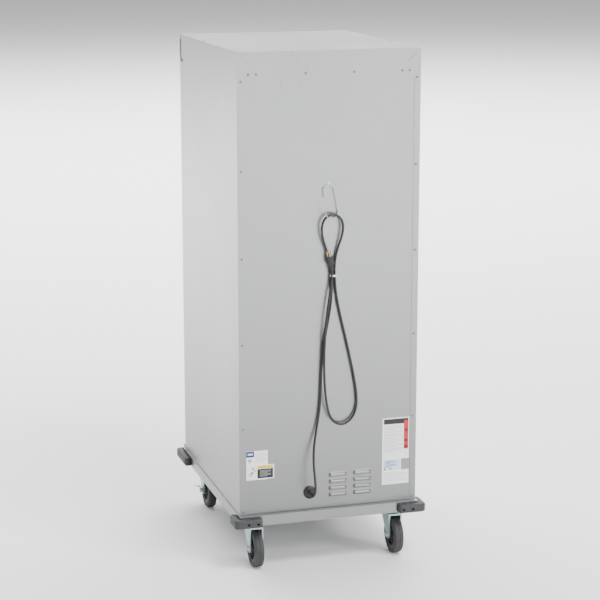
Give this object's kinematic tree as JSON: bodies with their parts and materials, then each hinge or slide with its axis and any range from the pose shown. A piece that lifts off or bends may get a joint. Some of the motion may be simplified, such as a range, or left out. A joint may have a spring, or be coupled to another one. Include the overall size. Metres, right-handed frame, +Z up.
{
  "type": "proofing cabinet",
  "caption": "Tall insulated stainless proofing cabinet on casters, with a windowed door, pan slides, a heat and humidity module, corner bumpers and a cord stowed on a rear hook.",
  "frame": {"origin": "on the floor, midway between the bumpers", "axes": "+Z up, door at the front on -Y, louvres and cord at the rear on +Y, +X to the right seen from the front"},
  "size_m": [0.672, 0.9039, 1.7317],
  "materials": {
    "brushed_panel": "brushed along the height",
    "satin_steel": "satin",
    "liner_steel": "satin",
    "insulation": "rigid fibre board",
    "element_steel": "heat tinted",
    "motor_enamel": "semi-gloss",
    "board_green": "matte",
    "black_plastic": "fine texture",
    "knob_plastic": "satin",
    "red_lens": "gloss",
    "clear_pane": "clear polycarbonate",
    "gasket_rubber": "matte",
    "zinc_plate": "zinc plated",
    "caster_zinc": "zinc plated, slight blue-green tint",
    "hub_grey": "moulded",
    "tyre_grey": "matte",
    "white_plastic": "moulded",
    "slide_aluminium": "extruded",
    "label_film": null,
    "bumper_plastic": "moulded",
    "bright_wire": "bright nickel",
    "cord_rubber": "semi-matte",
    "brass_blades": "bright"
  },
  "bodies": {
    "cabinet": {"base_frame": "satin_steel", "side_panel_right": "brushed_panel", "side_panel_left": "brushed_panel", "rear_panel": "brushed_panel", "top_panel": "brushed_panel", "front_frame": "satin_steel", "liner_panels": "liner_steel", "insulation_boards": "insulation", "heater_module": "liner_steel", "heating_elements": "element_steel", "blower_motor": "motor_enamel", "blower_scroll": "zinc_plate", "air_duct": "liner_steel", "electrical_parts": "board_green", "control_fascia": "black_plastic", "indicator_lenses": "red_lens", "hinge_brackets": "black_plastic", "hinge_pins": "zinc_plate", "magnet_catches": "black_plastic", "rack_uprights": "liner_steel", "pan_slides": "slide_aluminium", "body_fasteners": "satin_steel", "label_plates": "label_film", "corner_bumpers": "bumper_plastic", "cord_hook": "bright_wire", "strain_relief": "black_plastic", "power_cord": "cord_rubber", "cord_plug": "cord_rubber", "plug_blades": "brass_blades", "cord_tie": "white_plastic", "caster_plates": "zinc_plate"},
    "door": {"door_frame": "satin_steel", "door_window": "clear_pane", "door_gasket": "gasket_rubber", "door_pull": "black_plastic", "hinge_bushes": "white_plastic", "catch_plates": "zinc_plate"},
    "temperature_knob": {"temperature_knob": "knob_plastic"},
    "humidity_knob": {"humidity_knob": "knob_plastic"},
    "power_rocker": {"power_rocker": "red_lens"},
    "blower_wheel": {"blower_wheel": "zinc_plate"},
    "water_pan": {"water_pan": "liner_steel"},
    "rear_right_swivel": {"rear_right_fork": "caster_zinc", "rear_right_axle": "zinc_plate"},
    "rear_right_wheel": {"rear_right_hub": "hub_grey", "rear_right_tyre": "tyre_grey"},
    "rear_left_swivel": {"rear_left_fork": "caster_zinc", "rear_left_axle": "zinc_plate"},
    "rear_left_wheel": {"rear_left_hub": "hub_grey", "rear_left_tyre": "tyre_grey"},
    "front_right_swivel": {"front_right_fork": "caster_zinc", "front_right_axle": "zinc_plate"},
    "front_right_wheel": {"front_right_hub": "hub_grey", "front_right_tyre": "tyre_grey"},
    "front_left_swivel": {"front_left_fork": "caster_zinc", "front_left_axle": "zinc_plate"},
    "front_left_wheel": {"front_left_hub": "hub_grey", "front_left_tyre": "tyre_grey"},
    "front_right_brake": {"front_right_brake": "caster_zinc"},
    "front_left_brake": {"front_left_brake": "caster_zinc"}
  },
  "joints": [
    {"name": "door_swing", "type": "hinge", "parent": "cabinet", "child": "door", "pos_m": [0.288, -0.415, 0.9], "axis": [0, 0, 1], "range_deg": [0, 175]},
    {"name": "temperature_turn", "type": "hinge", "parent": "cabinet", "child": "temperature_knob", "pos_m": [0.09, -0.4, 1.6805], "axis": [0, -1, 0], "range_deg": [-270, 0]},
    {"name": "humidity_turn", "type": "hinge", "parent": "cabinet", "child": "humidity_knob", "pos_m": [0.17, -0.4, 1.6805], "axis": [0, -1, 0], "range_deg": [-270, 0]},
    {"name": "power_rock", "type": "hinge", "parent": "cabinet", "child": "power_rocker", "pos_m": [-0.19, -0.387, 1.6805], "axis": [1, 0, 0], "range_deg": [0, 20]},
    {"name": "blower_spin", "type": "hinge", "parent": "cabinet", "child": "blower_wheel", "pos_m": [0, 0.27, 0.2862], "axis": [0, 1, 0], "continuous": true},
    {"name": "water_pan_lift", "type": "slide", "parent": "cabinet", "child": "water_pan", "axis": [0, 0, 1], "range_m": [0, 0.1]},
    {"name": "rear_right_swivel_turn", "type": "hinge", "parent": "cabinet", "child": "rear_right_swivel", "pos_m": [0.247, 0.325, 0.14], "axis": [0, 0, 1], "continuous": true},
    {"name": "rear_right_wheel_roll", "type": "hinge", "parent": "rear_right_swivel", "child": "rear_right_wheel", "pos_m": [0.247, 0.361, 0.0635], "axis": [1, 0, 0], "continuous": true},
    {"name": "rear_left_swivel_turn", "type": "hinge", "parent": "cabinet", "child": "rear_left_swivel", "pos_m": [-0.247, 0.325, 0.14], "axis": [0, 0, 1], "continuous": true},
    {"name": "rear_left_wheel_roll", "type": "hinge", "parent": "rear_left_swivel", "child": "rear_left_wheel", "pos_m": [-0.247, 0.361, 0.0635], "axis": [1, 0, 0], "continuous": true},
    {"name": "front_right_swivel_turn", "type": "hinge", "parent": "cabinet", "child": "front_right_swivel", "pos_m": [0.247, -0.325, 0.14], "axis": [0, 0, 1], "continuous": true},
    {"name": "front_right_wheel_roll", "type": "hinge", "parent": "front_right_swivel", "child": "front_right_wheel", "pos_m": [0.247, -0.289, 0.0635], "axis": [1, 0, 0], "continuous": true},
    {"name": "front_left_swivel_turn", "type": "hinge", "parent": "cabinet", "child": "front_left_swivel", "pos_m": [-0.247, -0.325, 0.14], "axis": [0, 0, 1], "continuous": true},
    {"name": "front_left_wheel_roll", "type": "hinge", "parent": "front_left_swivel", "child": "front_left_wheel", "pos_m": [-0.247, -0.289, 0.0635], "axis": [1, 0, 0], "continuous": true},
    {"name": "front_right_brake_press", "type": "hinge", "parent": "front_right_swivel", "child": "front_right_brake", "pos_m": [0.247, -0.289, 0.0635], "axis": [1, 0, 0], "range_deg": [0, 20]},
    {"name": "front_left_brake_press", "type": "hinge", "parent": "front_left_swivel", "child": "front_left_brake", "pos_m": [-0.247, -0.289, 0.0635], "axis": [1, 0, 0], "range_deg": [0, 20]}
  ]
}
